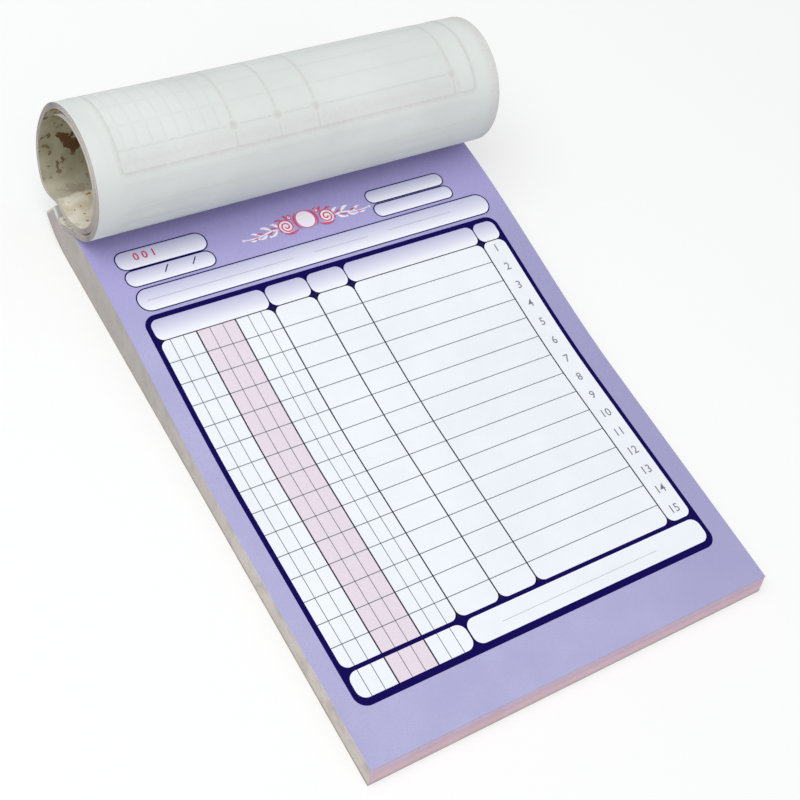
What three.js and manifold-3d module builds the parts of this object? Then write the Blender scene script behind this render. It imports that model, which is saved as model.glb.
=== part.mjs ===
// An invoice book of A5 sets, bound along its top edge, with the used leaves rolled up over the binding.
// The roll has drawn the bound end up from the table a little; the rest of the underside is flat.
// Millimetres, +X to the right, +Y towards the bound edge, +Z up; the origin is the middle of the underside.
import * as THREE from "three";
import { mergeVertices } from "three/addons/utils/BufferGeometryUtils.js";
import Module from "manifold-3d";

const wasm = await Module();
wasm.setup();

// Paper: a set is an original and the pink copy behind it.
const pageWidth = 148;
const pageLength = 210;
const leafThickness = 0.08;
const leavesInSet = 2;
const bundleCount = 13;
const setsInBundle = 3;
const turnedSets = 10;
const coverThickness = 0.2;
const boardThickness = 0.9;

// Binding: a paper strip folded round the spine, padding glue behind the leaves, and two flat-wire staples.
const stripThickness = 0.25;
const stripReach = 5;
const glueThickness = 0.35;
const stapleSpacing = 74;
const stapleSpan = 12;
const stapleInset = 2.8;
const wireThickness = 0.5;
const wireWidth = 0.7;
const clinchLength = 4;
const wireClearance = 0.3;
const wireSeat = 0.05;

// Curl of the bound end: the underside follows a circle over this reach.
const curlReach = 18;
const curlRadius = 34;
const curlSteps = 4;

// Bow of the unused leaves: they rise from the crease, pass a crest and sink back to the flat front part,
// and the bow draws the upper ones back from the front edge.
const creaseFlat = 1;
const creaseBend = 4;
const bendSteps = 4;
const riseAngle = THREE.MathUtils.degToRad(33.2);
const riseSteps = 3;
const crestBend = 8;
const crestSteps = 3;
const crestHeight = 7;
const bowReach = 100;
const bowSteps = 12;
const frontSetBack = 1.6;

// Roll of the turned leaves. Its angles, in degrees, are turns from straight down towards the front.
const leafRun = 12.2;
const rollRadius = 21.5;
const rollLooseness = 5;
const looseFromAngle = 250;
const looseToAngle = 332;
const tuckFromAngle = 322;
const tuckToAngle = 350;
const turnGap = 0.35;
const turnedClearance = 0.02;
const stepAngle = 9;
const tuckStepAngle = 3.5;

// Perforation of the top set, along which a leaf tears off.
const perforationRun = 1.5;
const slotLength = 1.6;
const slotWidth = 0.4;
const slotPitch = 4;

// How far a cutting tool reaches past the piece that it cuts.
const over = 1;

// Derived places.
const frontY = -pageLength / 2;
const spineY = pageLength / 2;
const creaseY = spineY - stripReach;
const glueY = spineY - stripThickness;
const leafEndY = glueY - glueThickness;
const setThickness = leavesInSet * leafThickness;
const stackTop = boardThickness + bundleCount * setsInBundle * setThickness;
const copyTop = stackTop + leafThickness;
const invoiceTop = copyTop + leafThickness;
const turnedTop = invoiceTop + turnedSets * setThickness;
const coverTop = turnedTop + coverThickness;
const stripTop = coverTop + stripThickness;
const wallThickness = coverTop - invoiceTop;
const turnedLength = creaseY - frontY;
const boundMiddleY = (creaseY + leafEndY) / 2;
const curlStartY = spineY - curlReach;
const creaseAngle = (creaseY - curlStartY) / curlRadius;

function material(colour, roughness) {
  return new THREE.MeshStandardMaterial({ color: colour, roughness, metalness: 0 });
}

const looks = {
  board: material("#b9ab93", 0.9),
  original: material("#e9e7ea", 0.8),
  copy: material("#e3c3c2", 0.8),
  form: material("#b2b0d8", 0.75),
  turned: material("#dcdfda", 0.8),
  cover: material("#a39a7c", 0.6),
  strip: material("#3c4a63", 0.7),
  glue: material("#e4dcc4", 0.5),
  wire: new THREE.MeshStandardMaterial({ color: "#b9bcc0", roughness: 0.35, metalness: 1 }),
};

// Swaps the axes so that a profile drawn as (y, z) runs along X.
const alongX = new THREE.Matrix4().set(0, 0, 1, 0, 1, 0, 0, 0, 0, 1, 0, 0, 0, 0, 0, 1);

// Everything is laid out as if the book were flat, and its bound end is then curled up with this.
function curled([y, z]) {
  const angle = Math.max(0, y - curlStartY) / curlRadius;
  const radius = curlRadius - z;
  return [Math.min(y, curlStartY) + radius * Math.sin(angle), curlRadius - radius * Math.cos(angle)];
}

// The flat place of a point given in its curled place.
function uncurled([y, z]) {
  if (y <= curlStartY) return [y, z];
  const angle = Math.atan2(y - curlStartY, curlRadius - z);
  return [curlStartY + curlRadius * angle, curlRadius - Math.hypot(y - curlStartY, curlRadius - z)];
}

// A closed side profile of [y, z] points in their final places, extruded from x0 to x1.
function sideExtrusion(profile, x0 = -pageWidth / 2, x1 = pageWidth / 2) {
  const shape = new THREE.Shape(profile.map(([y, z]) => new THREE.Vector2(y, z)));
  const geometry = new THREE.ExtrudeGeometry(shape, { depth: x1 - x0, bevelEnabled: false, steps: 1 });
  geometry.translate(0, 0, x0);
  return geometry.applyMatrix4(alongX);
}

// A level line of the bound end from y0 back to y1, with a point wherever its neighbours have one.
const boundY = [creaseY, boundMiddleY, leafEndY, glueY, spineY];
function boundLine(y0, y1, z) {
  const between = boundY.filter((y) => y > y0 && y < y1);
  return [y0, ...between, y1].map((y) => curled([y, z]));
}

// A block of the bound end, given in its flat place.
function boundBlock(y0, y1, z0, z1, x0, x1) {
  return sideExtrusion([...boundLine(y0, y1, z0), ...boundLine(y0, y1, z1).reverse()], x0, x1);
}

function toSolid(geometry) {
  const bare = geometry.clone();
  bare.deleteAttribute("normal");
  bare.deleteAttribute("uv");
  const merged = mergeVertices(bare, 1e-4);
  const vertProperties = merged.attributes.position.array;
  const triVerts = new Uint32Array(merged.index.array);
  return new wasm.Manifold(new wasm.Mesh({ numProp: 3, vertProperties, triVerts }));
}

function toGeometry(solid) {
  const mesh = solid.getMesh();
  const geometry = new THREE.BufferGeometry();
  geometry.setAttribute("position", new THREE.BufferAttribute(mesh.vertProperties, 3));
  geometry.setIndex(new THREE.BufferAttribute(mesh.triVerts, 1));
  const faceted = geometry.toNonIndexed();
  faceted.computeVertexNormals();
  return faceted;
}

function cut(geometry, tools) {
  return toGeometry(tools.reduce((solid, tool) => solid.subtract(toSolid(tool)), toSolid(geometry)));
}

const book = new THREE.Group();

function add(name, geometry, look) {
  const mesh = new THREE.Mesh(geometry, look);
  mesh.name = name;
  book.add(mesh);
}

function smoothStep(value) {
  const t = THREE.MathUtils.clamp(value, 0, 1);
  return t * t * (3 - 2 * t);
}

// Stations of the rising stretch, from the crease forwards: each has a place on the lower face of the turned
// leaves, which is the upper face of the top unused leaf, and the direction square to it.
const [foldY, foldZ] = curled([creaseY, invoiceTop]);
const bendY = foldY - creaseFlat * Math.cos(creaseAngle);
const bendZ = foldZ - creaseFlat * Math.sin(creaseAngle);
const riseStations = [{ y: foldY, z: foldZ, ny: -Math.sin(creaseAngle), nz: Math.cos(creaseAngle) }];
for (let step = 0; step <= bendSteps; step++) {
  const angle = -creaseAngle + ((riseAngle + creaseAngle) * step) / bendSteps;
  riseStations.push({
    y: bendY - creaseBend * (Math.sin(angle) + Math.sin(creaseAngle)),
    z: bendZ + creaseBend * (Math.cos(creaseAngle) - Math.cos(angle)),
    ny: Math.sin(angle),
    nz: Math.cos(angle),
  });
}
const riseStart = riseStations[riseStations.length - 1];

// Upper face of the unused leaves over the bound end, the rise, the crest and the long bow.
function bowLine() {
  const line = riseStations.map(({ y, z }) => [y, z]);
  const crestTop = invoiceTop + crestHeight;
  const crestStartZ = crestTop - crestBend * (1 - Math.cos(riseAngle));
  const crestStartY = riseStart.y - (crestStartZ - riseStart.z) / Math.tan(riseAngle);
  for (let step = 1; step < riseSteps; step++) {
    const share = step / riseSteps;
    const y = riseStart.y + (crestStartY - riseStart.y) * share;
    line.push([y, riseStart.z + (crestStartZ - riseStart.z) * share]);
  }
  for (let step = 0; step <= crestSteps; step++) {
    const angle = riseAngle * (1 - step / crestSteps);
    const y = crestStartY - crestBend * (Math.sin(riseAngle) - Math.sin(angle));
    line.push([y, crestTop - crestBend * (1 - Math.cos(angle))]);
  }
  const crestY = line[line.length - 1][0];
  for (let step = 1; step <= bowSteps; step++) {
    const share = step / bowSteps;
    line.push([crestY - bowReach * share, crestTop - crestHeight * smoothStep(share)]);
  }
  return [[leafEndY, invoiceTop], [boundMiddleY, invoiceTop], ...line.map(uncurled)];
}
const upperLine = bowLine();
// Place of the crease in that line, after the two points of the bound end.
const creaseIndex = 2;

// The line of a leaf whose height in the stack is a share of the whole: the bow dies away towards the board.
function leafLine(height) {
  const share = (height - boardThickness) / (invoiceTop - boardThickness);
  const line = upperLine.map(([y, z]) => curled([y, height + share * (z - invoiceTop)]));
  line.push([frontY + share * frontSetBack, height]);
  return line;
}

// A layer of the stack between two leaf lines. Cut at the crease, it is the part that turns.
function stackLayer(lower, upper, fromCrease) {
  const skip = fromCrease ? creaseIndex : 0;
  const below = leafLine(lower).slice(skip);
  const above = leafLine(upper).slice(skip);
  return sideExtrusion([...above, ...below.reverse()]);
}

const stapleY = spineY - stapleInset;
const stapleX = [-stapleSpacing / 2, stapleSpacing / 2];
const holeHalfWidth = wireWidth / 2 + wireClearance;
const holeY = [stapleY - holeHalfWidth, stapleY + holeHalfWidth];
const legHoles = stapleX.flatMap((x) =>
  [x - stapleSpan / 2, x + stapleSpan / 2].map((legX) => {
    const side = Math.sign(legX - x);
    const inner = legX - side * (wireThickness + wireClearance);
    const outer = legX + side * wireClearance;
    return [Math.min(inner, outer), Math.max(inner, outer)];
  }),
);

function legTools(z0, z1) {
  return legHoles.map(([x0, x1]) => boundBlock(...holeY, z0, z1, x0, x1));
}

// Grooves pressed by the crowns above, and by the folded legs below.
function wireGrooves(z0, z1) {
  const half = stapleSpan / 2 + wireClearance;
  return stapleX.map((x) => boundBlock(...holeY, z0, z1, x - half, x + half));
}

// The board's upper face is the lowest leaf line, and the strip's lower leg lies in a rebate under its end.
function addBoard() {
  const under = [curled([frontY, 0])];
  for (let step = 0; step <= curlSteps; step++) {
    under.push(curled([curlStartY + ((creaseY - curlStartY) * step) / curlSteps, 0]));
  }
  const profile = [...under, ...boundLine(creaseY, leafEndY, stripThickness), ...leafLine(boardThickness)];
  const grooves = wireGrooves(-over, stripThickness + wireThickness + 2 * wireSeat);
  const holes = legTools(-over, boardThickness + over);
  add("back_board", cut(sideExtrusion(profile), [...grooves, ...holes]), looks.board);
}

function addStack() {
  for (let i = 0; i < bundleCount; i++) {
    const lower = boardThickness + i * setsInBundle * setThickness;
    const layer = stackLayer(lower, lower + setsInBundle * setThickness, false);
    const name = "unused_sets_" + String(i + 1).padStart(2, "0");
    add(name, cut(layer, legTools(lower - over, stackTop + over)), i % 2 ? looks.original : looks.copy);
  }
}

// The slots of the tear line, cut through one leaf.
function perforationTools() {
  const count = Math.floor(pageWidth / slotPitch) - 1;
  const y = riseStart.y - perforationRun * Math.cos(riseAngle);
  const [y0, y1] = [y - slotWidth / 2, y + slotWidth / 2];
  const slot = [[y0, 0], [y1, 0], [y1, stripTop + crestHeight], [y0, stripTop + crestHeight]];
  return Array.from({ length: count }, (_, i) => {
    const x = (i - (count - 1) / 2) * slotPitch;
    return sideExtrusion(slot, x - slotLength / 2, x + slotLength / 2);
  });
}

function stub(z0, z1) {
  return boundBlock(creaseY, leafEndY, z0, z1);
}

function addTopSet() {
  add("copy_leaf", cut(stackLayer(stackTop, copyTop, true), perforationTools()), looks.copy);
  add("copy_leaf_stub", cut(stub(stackTop, copyTop), legTools(0, stripTop + over)), looks.copy);
  add("invoice_leaf", cut(stackLayer(copyTop, invoiceTop, true), perforationTools()), looks.form);
  add("invoice_leaf_stub", cut(stub(copyTop, invoiceTop), legTools(0, stripTop + over)), looks.form);
}

// Middle of the roll: the leaves run straight up the rise and then curl round it.
const runEnd = {
  y: riseStart.y - leafRun * Math.cos(riseAngle),
  z: riseStart.z + leafRun * Math.sin(riseAngle),
};
const rollY = runEnd.y + rollRadius * Math.sin(riseAngle);
const rollZ = runEnd.z + rollRadius * Math.cos(riseAngle);

// Outer radius of the roll: slack at the back, then tucked inside the first turn.
function outerRadius(turn) {
  const slack = rollLooseness * smoothStep((turn - looseFromAngle) / (looseToAngle - looseFromAngle));
  const tuck = rollLooseness + wallThickness + turnGap;
  return rollRadius + slack - tuck * smoothStep((turn - tuckFromAngle) / (tuckToAngle - tuckFromAngle));
}

// Stations of a turned leaf: the rise, and then the curl, closer together where the leaves tuck in.
const rollStations = [...riseStations];
const innerRadius = rollRadius - 2 * wallThickness - turnGap;
const firstTurn = THREE.MathUtils.radToDeg(riseAngle);
const lastTurn = firstTurn + THREE.MathUtils.radToDeg(turnedLength / innerRadius);
let turn = firstTurn;
while (turn < lastTurn) {
  const angle = THREE.MathUtils.degToRad(turn);
  const radius = outerRadius(turn);
  rollStations.push({
    y: rollY - radius * Math.sin(angle),
    z: rollZ - radius * Math.cos(angle),
    ny: Math.sin(angle),
    nz: Math.cos(angle),
  });
  const tucking = turn > tuckFromAngle - 2 * stepAngle && turn < tuckToAngle + stepAngle;
  turn += tucking ? tuckStepAngle : stepAngle;
}

// One rolled layer between two depths below the roll's outer face, cut off where its middle is as long as
// a leaf. Beyond the crease a little air lies between the roll and the leaf under it.
function rolledLayer(outerDepth, innerDepth) {
  const place = (station, depth) => {
    const inward = depth + (station === rollStations[0] ? 0 : turnedClearance);
    return [station.y + station.ny * inward, station.z + station.nz * inward];
  };
  const outer = [place(rollStations[0], outerDepth)];
  const inner = [place(rollStations[0], innerDepth)];
  let left = turnedLength;
  for (let i = 1; left > 0; i++) {
    const a = place(rollStations[i], outerDepth);
    const b = place(rollStations[i], innerDepth);
    const [pa, pb] = [outer[i - 1], inner[i - 1]];
    const length = Math.hypot(a[0] + b[0] - pa[0] - pb[0], a[1] + b[1] - pa[1] - pb[1]) / 2;
    const share = Math.min(1, left / length);
    outer.push([pa[0] + (a[0] - pa[0]) * share, pa[1] + (a[1] - pa[1]) * share]);
    inner.push([pb[0] + (b[0] - pb[0]) * share, pb[1] + (b[1] - pb[1]) * share]);
    left -= length;
  }
  return sideExtrusion([...inner, ...outer.reverse()]);
}

function addRoll() {
  for (let i = 0; i < turnedSets; i++) {
    const layer = rolledLayer(i * setThickness, (i + 1) * setThickness);
    add("turned_set_" + String(i + 1).padStart(2, "0"), layer, looks.turned);
  }
  add("cover", rolledLayer(turnedSets * setThickness, wallThickness), looks.cover);
}

// The crowns lie just under the strip, and the folded legs just over its lower leg.
const crownTop = coverTop - wireSeat;
const clinchBottom = stripThickness + wireSeat;

function addTurnedStubs() {
  const legs = legTools(0, stripTop + over);
  const crowns = wireGrooves(crownTop - wireThickness - wireSeat, stripTop + over);
  add("turned_set_stubs", cut(stub(invoiceTop, turnedTop), [...legs, ...crowns]), looks.turned);
  add("cover_stub", cut(stub(turnedTop, coverTop), crowns), looks.cover);
}

// A staple: crown, two legs through the book, and their ends folded flat against the board.
function addStaples() {
  const half = stapleSpan / 2;
  const wire = wireThickness;
  const outline = [
    [-half, clinchBottom],
    [-half + clinchLength, clinchBottom],
    [-half + clinchLength, clinchBottom + wire],
    [-half + wire, clinchBottom + wire],
    [-half + wire, crownTop - wire],
    [half - wire, crownTop - wire],
    [half - wire, clinchBottom + wire],
    [half - clinchLength, clinchBottom + wire],
    [half - clinchLength, clinchBottom],
    [half, clinchBottom],
    [half, crownTop],
    [-half, crownTop],
  ];
  const shape = new THREE.Shape(outline.map(([x, z]) => new THREE.Vector2(x, z)));
  const tilt = (stapleY - curlStartY) / curlRadius;
  stapleX.forEach((x, i) => {
    const geometry = new THREE.ExtrudeGeometry(shape, { depth: wireWidth, bevelEnabled: false, steps: 1 });
    // Upright, with the wire's width along Y, and then tilted about the middle of the curl.
    geometry.rotateX(Math.PI / 2).translate(x, wireWidth / 2, -curlRadius);
    geometry.rotateX(tilt).translate(0, curlStartY, curlRadius);
    add("staple_" + (i + 1), geometry, looks.wire);
  });
}

function addBinding() {
  add("spine_glue", boundBlock(leafEndY, glueY, stripThickness, coverTop), looks.glue);
  const strip = [
    ...boundLine(creaseY, spineY, 0),
    ...boundLine(creaseY, spineY, stripTop).reverse(),
    ...boundLine(creaseY, glueY, coverTop),
    ...boundLine(creaseY, glueY, stripThickness).reverse(),
  ];
  add("binding_strip", sideExtrusion(strip), looks.strip);
}

addBoard();
addStack();
addTopSet();
addRoll();
addTurnedStubs();
addStaples();
addBinding();

export default book;
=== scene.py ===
"""The look of an invoice book: a pad of printed two-part sets, bound along its top edge, whose used
leaves are rolled up over the binding. Sizes are in millimetres, but in metres once a piece is made,
in the shaders and in the last section."""

import math
import random

import bmesh
import bpy
import numpy
from mathutils import Matrix, Vector


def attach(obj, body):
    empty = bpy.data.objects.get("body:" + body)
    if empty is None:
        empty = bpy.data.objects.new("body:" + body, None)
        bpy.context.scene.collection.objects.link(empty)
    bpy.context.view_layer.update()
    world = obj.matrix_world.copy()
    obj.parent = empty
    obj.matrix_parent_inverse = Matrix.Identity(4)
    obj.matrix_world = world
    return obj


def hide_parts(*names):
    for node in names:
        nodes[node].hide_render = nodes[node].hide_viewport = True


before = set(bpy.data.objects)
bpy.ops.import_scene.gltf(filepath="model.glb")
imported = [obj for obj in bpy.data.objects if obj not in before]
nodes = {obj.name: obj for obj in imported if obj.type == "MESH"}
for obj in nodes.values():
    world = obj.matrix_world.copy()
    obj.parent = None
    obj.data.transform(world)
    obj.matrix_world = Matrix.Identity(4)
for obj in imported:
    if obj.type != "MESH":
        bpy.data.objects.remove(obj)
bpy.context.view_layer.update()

# Back board
# A sheet of grey recycled chipboard under the leaves, guillotined together with them.
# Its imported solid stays, and the look gives it the flecks and the felted face of pulp.

MM = 0.001


def colour(code):
    """An sRGB hex colour as the linear one that shaders take."""
    channels = [int(code[i : i + 2], 16) / 255 for i in (1, 3, 5)]
    linear = [c / 12.92 if c <= 0.04045 else ((c + 0.055) / 1.055) ** 2.4 for c in channels]
    return (*linear, 1.0)


def add_node(tree, kind, inputs=None, **settings):
    """A shader node of that kind: an input is a value, or another node's output to be linked."""
    made = tree.nodes.new(kind)
    for setting, value in settings.items():
        setattr(made, setting, value)
    for socket, value in (inputs or {}).items():
        if isinstance(value, bpy.types.NodeSocket):
            tree.links.new(value, made.inputs[socket])
        else:
            made.inputs[socket].default_value = value
    return made


def new_finish(name, roughness, specular=0.3):
    """A material with its node tree, its shader and the object's own coordinates."""
    finish = bpy.data.materials.new(name)
    finish.use_nodes = True
    tree = finish.node_tree
    shader = tree.nodes["Principled BSDF"]
    shader.inputs["Roughness"].default_value = roughness
    shader.inputs["Specular IOR Level"].default_value = specular
    place = add_node(tree, "ShaderNodeTexCoord").outputs["Object"]
    return finish, tree, shader, place


def mottle(tree, place, first, second, scale, low=0.35, high=0.65, detail=4.0):
    """One colour breaking softly into another, in blotches of about 1/scale of a metre. Each is a hex
    code, a linear colour or another node's output."""
    noise = add_node(tree, "ShaderNodeTexNoise", {"Vector": place, "Scale": scale, "Detail": detail})
    spread = add_node(tree, "ShaderNodeMapRange", {"Value": noise.outputs[0], 1: low, 2: high})
    first, second = [colour(end) if isinstance(end, str) else end for end in (first, second)]
    colours = {"Factor": spread.outputs[0], 6: first, 7: second}
    return add_node(tree, "ShaderNodeMix", colours, data_type="RGBA").outputs[2]


def graded(tree, place, axis, start, end, first, second, most=1.0):
    """One colour passing into another, or part of the way, between two places on an axis, in metres."""
    along = add_node(tree, "ShaderNodeSeparateXYZ", {0: place})
    reach = {"Value": along.outputs[axis], 1: start, 2: end, 4: most}
    share = add_node(tree, "ShaderNodeMapRange", reach)
    colours = {"Factor": share.outputs[0], 6: first, 7: second}
    return add_node(tree, "ShaderNodeMix", colours, data_type="RGBA").outputs[2]


def felted(tree, shader, place, look, scale, strength, depth=0.03):
    """Gives the shader a colour and the fine felted relief of paper fibres."""
    tree.links.new(look, shader.inputs["Base Color"])
    felt = add_node(tree, "ShaderNodeTexNoise", {"Vector": place, "Scale": scale, "Detail": 6.0})
    relief = {"Strength": strength, "Distance": depth * MM, "Height": felt.outputs[0]}
    bump = add_node(tree, "ShaderNodeBump", relief)
    tree.links.new(bump.outputs[0], shader.inputs["Normal"])


def give_finish(name, finish):
    """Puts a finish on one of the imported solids, in place of the one it came with."""
    nodes[name].data.materials.clear()
    nodes[name].data.materials.append(finish)


# Chipboard: grey-brown, with dark and pale flecks of old print and pulp in it.
chipboard, tree, shader, place = new_finish("chipboard", 0.9, 0.2)
pulp = mottle(tree, place, "#a39a88", "#b9b09d", 220)
flecks = mottle(tree, place, pulp, "#6f675b", 1400, 0.66, 0.74)
pale = mottle(tree, place, flecks, "#d8d2c2", 1900, 0.68, 0.76)
felted(tree, shader, place, pale, 1500, 0.7, 0.08)
give_finish("back_board", chipboard)

# Unused leaves under the top set
# Thirteen bundles of three sets, each set a white original and its pink copy, cut as one block whose
# front leans back a little. The leaves are separate, bow with the pad and lie a hair out of line.

PAGE_WIDTH = 148
FRONT = -105
LEAF = 0.08
BOARD_TOP, STACK_TOP, COPY_TOP, INVOICE_TOP = 0.9, 7.14, 7.22, 7.3
CREASE, LEAF_END = 100, 104.4
CURL_START, CURL_RADIUS = 87, 34
CREASE_FLAT, CREASE_BEND = 1, 4
RISE = math.radians(33.2)
CREST_BEND, CREST_HEIGHT, BOW_REACH = 8, 7, 100
FRONT_SET_BACK = 1.6
BEND_STEPS, STRAIGHT_STEPS, CREST_STEPS, BOW_STEPS = 12, 6, 10, 40


def curled(y, z):
    """A point of the flat layout moved on to the curl of the bound end."""
    angle = max(0, y - CURL_START) / CURL_RADIUS
    radius = CURL_RADIUS - z
    return min(y, CURL_START) + radius * math.sin(angle), CURL_RADIUS - radius * math.cos(angle)


def uncurled(y, z):
    """The flat place of a point given where the curl has put it."""
    beyond, radius = y - CURL_START, CURL_RADIUS - z
    if beyond <= 0:
        return y, z
    return CURL_START + CURL_RADIUS * math.atan2(beyond, radius), CURL_RADIUS - math.hypot(beyond, radius)


def smooth_step(value):
    t = min(1, max(0, value))
    return t * t * (3 - 2 * t)


# Stations of the rise, from the crease forwards: a place and the direction square to the leaf.
crease_angle = (CREASE - CURL_START) / CURL_RADIUS
fold_y, fold_z = curled(CREASE, INVOICE_TOP)
bend_y = fold_y - CREASE_FLAT * math.cos(crease_angle)
bend_z = fold_z - CREASE_FLAT * math.sin(crease_angle)
rise_stations = [(fold_y, fold_z, -math.sin(crease_angle), math.cos(crease_angle))]
for step in range(BEND_STEPS + 1):
    angle = -crease_angle + (RISE + crease_angle) * step / BEND_STEPS
    y = bend_y - CREASE_BEND * (math.sin(angle) + math.sin(crease_angle))
    z = bend_z + CREASE_BEND * (math.cos(crease_angle) - math.cos(angle))
    rise_stations.append((y, z, math.sin(angle), math.cos(angle)))
rise_y, rise_z = rise_stations[-1][:2]

# Upper face of the unused leaves: rise, crest and the long bow down to the front edge.
crest_top = INVOICE_TOP + CREST_HEIGHT
crest_start_z = crest_top - CREST_BEND * (1 - math.cos(RISE))
crest_start_y = rise_y - (crest_start_z - rise_z) / math.tan(RISE)
upper_line = [(y, z) for y, z, _, _ in rise_stations]
for step in range(1, STRAIGHT_STEPS):
    share = step / STRAIGHT_STEPS
    y = rise_y + (crest_start_y - rise_y) * share
    upper_line.append((y, rise_z + (crest_start_z - rise_z) * share))
for step in range(CREST_STEPS + 1):
    angle = RISE * (1 - step / CREST_STEPS)
    y = crest_start_y - CREST_BEND * (math.sin(RISE) - math.sin(angle))
    z = crest_top - CREST_BEND * (1 - math.cos(angle))
    upper_line.append((y, z))
crest_y = upper_line[-1][0]
for step in range(1, BOW_STEPS + 1):
    share = step / BOW_STEPS
    upper_line.append((crest_y - BOW_REACH * share, crest_top - CREST_HEIGHT * smooth_step(share)))
flat_line = sorted(uncurled(y, z) for y, z in upper_line)
bow_places = [y for y, _ in flat_line]
bow_heights = [z - INVOICE_TOP for _, z in flat_line]


def in_stack(x, y, z):
    """A point of the flat stack, in its bowed and curled place."""
    share = (z - BOARD_TOP) / (INVOICE_TOP - BOARD_TOP)
    y, z = curled(y, z + share * numpy.interp(y, bow_places, bow_heights))
    return Vector((x, y, z)) * MM


def lay_leaf(made, columns, rows, low, high, finish=0, face_finish=None, hole=None, edge_finishes=None):
    """Adds one flat leaf, a grid with thickness, to a mesh; its upper face, and its edges at the sides
    and at the front, may have their own finishes."""
    across, along = len(columns) - 1, len(rows) - 1
    already = set(made.faces)
    grid = bmesh.ops.create_grid(made, x_segments=across, y_segments=along, size=0.5)["verts"]
    faces = {face for vertex in grid for face in vertex.link_faces}
    for vertex in grid:
        column = round((vertex.co.x + 0.5) * across)
        row = round((vertex.co.y + 0.5) * along)
        vertex.co = Vector((columns[column], rows[row], low))
    if hole:
        cut = [face for face in faces if hole(face.calc_center_median())]
        faces -= set(cut)
        bmesh.ops.delete(made, geom=cut, context="FACES_ONLY")
    for face in faces:
        face.material_index = finish
    grown = bmesh.ops.extrude_face_region(made, geom=list(faces), use_keep_orig=True)["geom"]
    upper = [part for part in grown if isinstance(part, bmesh.types.BMVert)]
    bmesh.ops.translate(made, vec=(0, 0, high - low), verts=upper)
    raised = {part for part in grown if isinstance(part, bmesh.types.BMFace)}
    if face_finish is not None:
        for face in raised:
            face.material_index = face_finish
    if edge_finishes is not None:
        for face in set(made.faces) - already - faces - raised:
            centre = face.calc_center_median()
            if min(centre.x - columns[0], columns[-1] - centre.x) < 1e-4:
                face.material_index = edge_finishes[0]
            elif centre.y - rows[0] < 1e-4:
                face.material_index = edge_finishes[1]


SHARP_ANGLE = math.radians(35)


def make_piece(name, made, placed, finishes):
    """The finished piece: every point put in place, smooth but for its real edges."""
    for vertex in made.verts:
        vertex.co = placed(*vertex.co)
    bmesh.ops.recalc_face_normals(made, faces=made.faces)
    mesh = bpy.data.meshes.new(name)
    made.to_mesh(mesh)
    made.free()
    for finish in finishes:
        mesh.materials.append(finish)
    mesh.shade_smooth()
    mesh.set_sharp_from_angle(angle=SHARP_ANGLE)
    made_object = bpy.data.objects.new(name, mesh)
    bpy.context.scene.collection.objects.link(made_object)
    return made_object


def paper(name, first, second, roughness=0.82, blotches=60, grain=1500, relief=0.3):
    """Uncoated paper: a tint that clouds a little, with a soft fibrous face."""
    finish, tree, shader, place = new_finish(name, roughness, 0.22)
    cloud = mottle(tree, place, first, second, blotches)
    felted(tree, shader, place, cloud, grain, relief)
    return finish


# White of the originals.
white_paper = paper("white_form_paper", "#e6e4dd", "#dedcd4")
# Pale pink of the copies.
pink_paper = paper("pink_copy_paper", "#e6c3c0", "#debab6")


def side_edges(name, roll_shaded, unshaded):
    """Cut edges at the sides: thumbed grey in places, and darker towards the binding by painted
    shade, the shadow of the roll."""
    finish, tree, shader, place = new_finish(name, 0.9, 0.22)
    painted_shade_end = mottle(tree, place, roll_shaded[0], roll_shaded[1], 45)
    unshaded_end = mottle(tree, place, unshaded[0], unshaded[1], 45)
    # Painted shade: the edges darken from the front towards the binding, where the roll shades them.
    shaded_tone = graded(tree, place, "Y", 0.035, -0.03, painted_shade_end, unshaded_end)
    thumbed = mottle(tree, place, shaded_tone, "#a7a69d", 200, 0.48, 0.85, 5.0)
    felted(tree, shader, place, thumbed, 2600, 0.5)
    return finish


# Many cut edges together look grey-green at the sides, hardly pink. The first pair of each is painted
# shade, for the end under the roll.
white_side = side_edges("white_side_edges", ("#b9b9af", "#b1b1a7"), ("#d5d4c8", "#cbcabf"))
pink_side = side_edges("pink_side_edges", ("#bdb4ad", "#b4aea5"), ("#dacfc2", "#d0c6b9"))
# Cut edges at the front, where the light comes through the copies and makes all of them pink.
white_front = paper("white_front_edges", "#efdcdd", "#ead3d4", 0.9, 45, 2600, 0.5)
pink_front = paper("pink_front_edges", "#efcdd0", "#eac4c8", 0.9, 45, 2600, 0.5)
# Lilac offset print: fine unevenness of ink on uncoated paper. Painted shade darkens it to the right, and
# a painted shadow of the roll deepens it at the head.
lilac_print, tree, shader, place = new_finish("lilac_print", 0.62, 0.3)
tint = mottle(tree, place, "#b3b1d7", "#adabd2", 90)
speckle = mottle(tree, place, tint, "#a5a3cc", 2600, 0.5, 0.7, 2.0)
# Painted shade: a deeper lilac, mixed in towards the right and more so further back.
painted_shade_lilac = mottle(tree, place, "#a3a0c8", "#9b98c1", 1800, 0.4, 0.7, 2.0)
across = add_node(tree, "ShaderNodeSeparateXYZ", {0: place})
to_right = add_node(tree, "ShaderNodeMapRange", {"Value": across.outputs["X"], 1: 0.012, 2: 0.068})
to_right.interpolation_type = "SMOOTHSTEP"
reach = {"Value": across.outputs["Y"], 1: -0.115, 2: -0.04, 3: 0.45}
from_front = add_node(tree, "ShaderNodeMapRange", reach)
both = {0: to_right.outputs[0], 1: from_front.outputs[0]}
share = add_node(tree, "ShaderNodeMath", both, operation="MULTIPLY")
right_shade_mix = {"Factor": share.outputs[0], 6: speckle, 7: painted_shade_lilac}
shaded_to_right = add_node(tree, "ShaderNodeMix", right_shade_mix, data_type="RGBA")
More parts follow.
